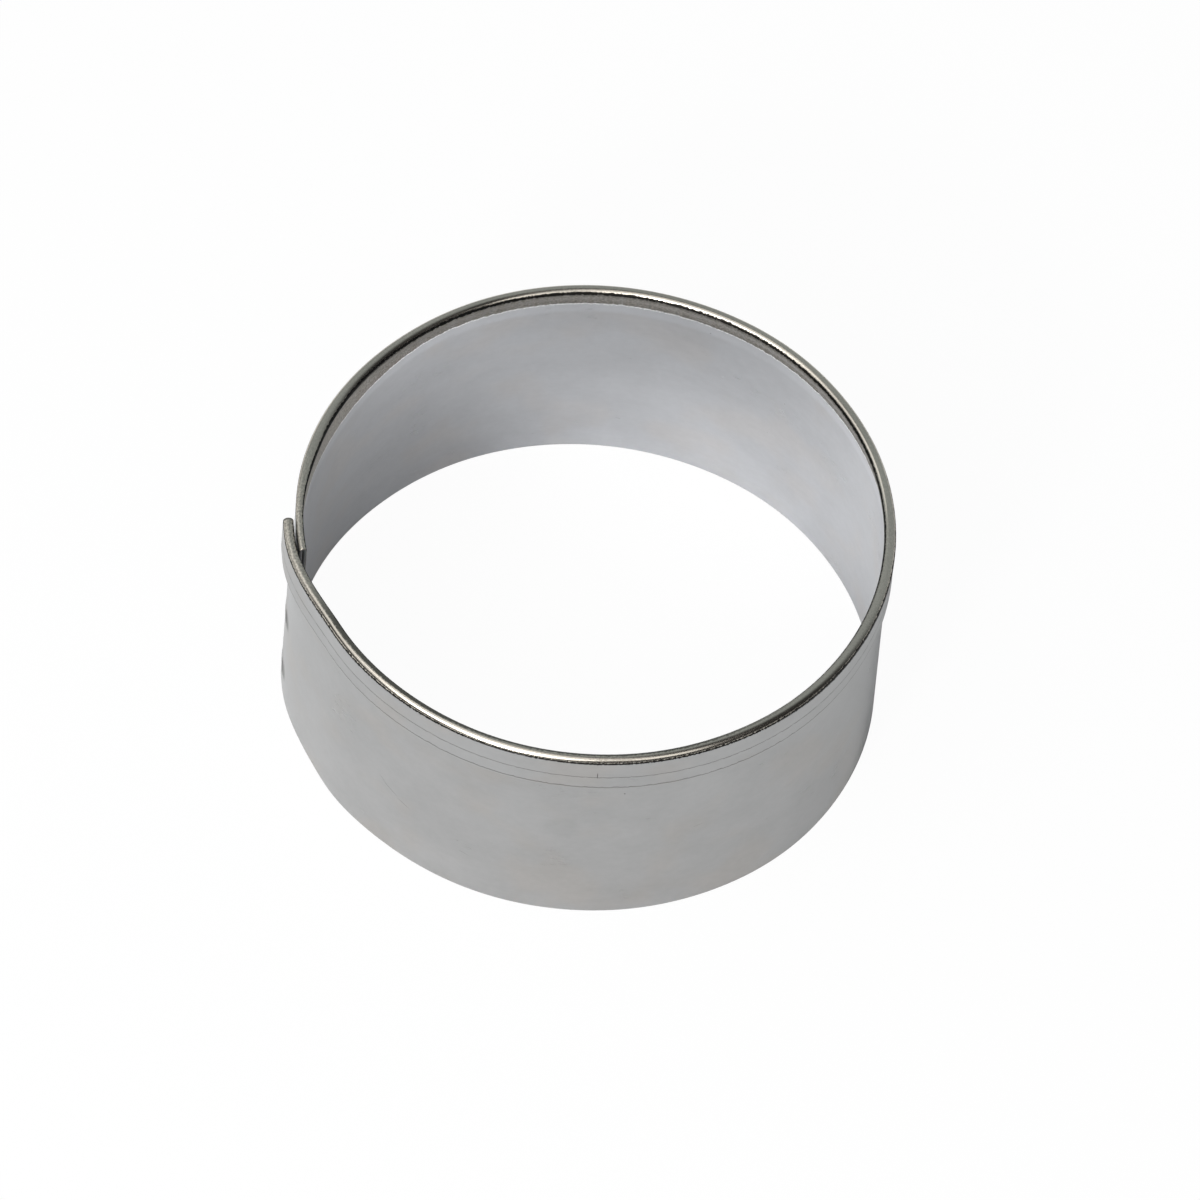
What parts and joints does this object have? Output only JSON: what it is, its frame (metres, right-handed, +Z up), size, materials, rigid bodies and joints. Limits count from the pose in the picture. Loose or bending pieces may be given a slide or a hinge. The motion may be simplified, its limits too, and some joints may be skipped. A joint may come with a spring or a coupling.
{
  "type": "biscuit cutter",
  "caption": "Plain round biscuit cutter: a thin sheet-steel ring open at both ends, with a hemmed bead on top, a bare cutting edge below and a spot-welded lap.",
  "frame": {"origin": "centre of the ring in the plane of the cutting edge", "axes": "+Z up along the ring's axis, from the cutting edge to the bead; -X towards the lap; -Y towards the camera of the picture"},
  "size_m": [0.0608, 0.06, 0.0254],
  "materials": {
    "sheet_steel": "bright rolled sheet with a fine grain along the strip, satin, lightly smudged",
    "weld_spot": "dished by the electrode and darkened by heat"
  },
  "bodies": {
    "root": {"cutter_band": "sheet_steel", "upper_spot_weld": "weld_spot", "lower_spot_weld": "weld_spot"}
  },
  "joints": []
}
